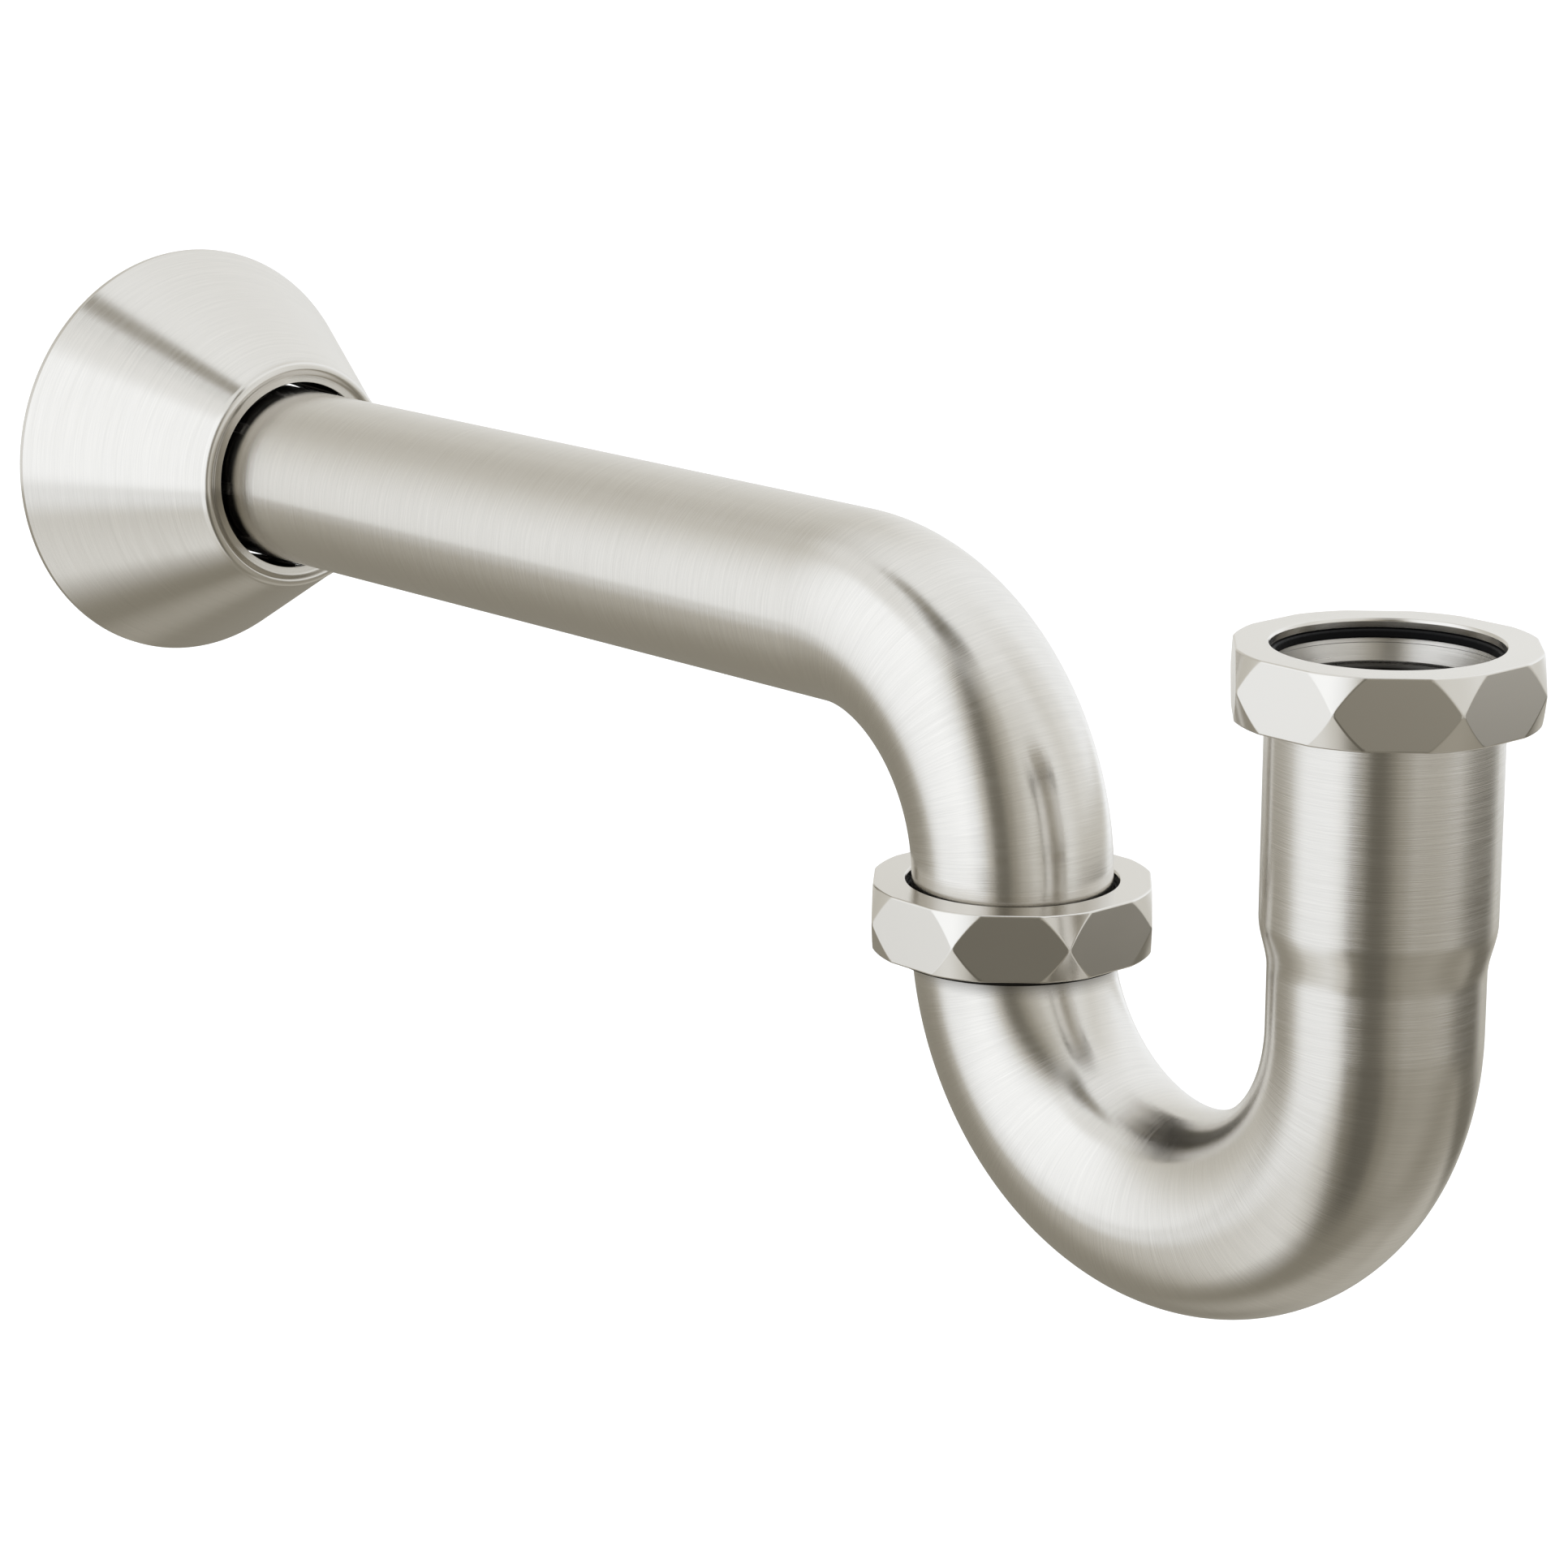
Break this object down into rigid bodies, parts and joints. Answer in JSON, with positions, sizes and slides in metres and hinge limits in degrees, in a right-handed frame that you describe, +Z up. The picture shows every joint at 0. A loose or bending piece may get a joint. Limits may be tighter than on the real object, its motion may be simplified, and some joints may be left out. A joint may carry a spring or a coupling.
{
  "type": "p trap",
  "caption": "Tubular P trap: a wall tube with a bend and a cone flange, joined by octagonal slip nuts to a J-bend whose wide socket takes the basin's tailpiece.",
  "frame": {"origin": "where the wall tube's axis crosses the finished face of the wall, behind the flange", "axes": "+X out of the wall along the tube, +Z up, and the J-bend lies in the XZ plane"},
  "size_m": [0.3457, 0.0764, 0.1362],
  "materials": {
    "nickel_tube": "brushed nickel plate, lines round the tube",
    "nickel_flange": "brushed nickel plate, lines round the cone",
    "nickel_nut": "satin nickel plate",
    "nickel_collar": "turned, nickel plated, threaded",
    "rubber": "moulded black rubber",
    "spring_steel": "bright strip"
  },
  "bodies": {
    "wall_tube": {"wall_tube": "nickel_tube"},
    "flange_spring": {"flange_spring_ring": "spring_steel"},
    "wall_flange": {"wall_flange": "nickel_flange", "flange_seal": "rubber"},
    "j_bend": {"j_bend": "nickel_tube", "outlet_collar": "nickel_collar", "inlet_collar": "nickel_collar"},
    "outlet_washer": {"outlet_washer": "rubber"},
    "outlet_nut": {"outlet_slip_nut": "nickel_nut"},
    "inlet_washer": {"inlet_washer": "rubber"},
    "inlet_nut": {"inlet_slip_nut": "nickel_nut"}
  },
  "joints": [
    {"name": "flange_slide", "type": "slide", "parent": "wall_tube", "child": "flange_spring", "axis": [1, 0, 0], "range_m": [0, 0.15]},
    {"name": "flange_turn", "type": "hinge", "parent": "flange_spring", "child": "wall_flange", "pos_m": [0, 0, 0], "axis": [1, 0, 0], "continuous": true},
    {"name": "j_bend_swivel", "type": "hinge", "parent": "wall_tube", "child": "j_bend", "pos_m": [0.2239, 0, -0.0446], "axis": [0, 0, 1], "range_deg": [-120, 120]},
    {"name": "outlet_nut_lift", "type": "slide", "parent": "j_bend", "child": "outlet_washer", "axis": [0, 0, 1], "range_m": [0, 0.0045]},
    {"name": "outlet_nut_turn", "type": "hinge", "parent": "outlet_washer", "child": "outlet_nut", "pos_m": [0.2239, 0, -0.043], "axis": [0, 0, 1], "range_deg": [0, 1140]},
    {"name": "inlet_nut_lift", "type": "slide", "parent": "j_bend", "child": "inlet_washer", "axis": [0, 0, 1], "range_m": [0, 0.0071]},
    {"name": "inlet_nut_turn", "type": "hinge", "parent": "inlet_washer", "child": "inlet_nut", "pos_m": [0.2989, 0, 0.0075], "axis": [0, 0, 1], "range_deg": [0, 1800]}
  ],
  "couplings": [
    {"joint": "outlet_nut_lift", "follows": "outlet_nut_turn", "m_per_rad": 0.00022459},
    {"joint": "inlet_nut_lift", "follows": "inlet_nut_turn", "m_per_rad": 0.00022459}
  ]
}
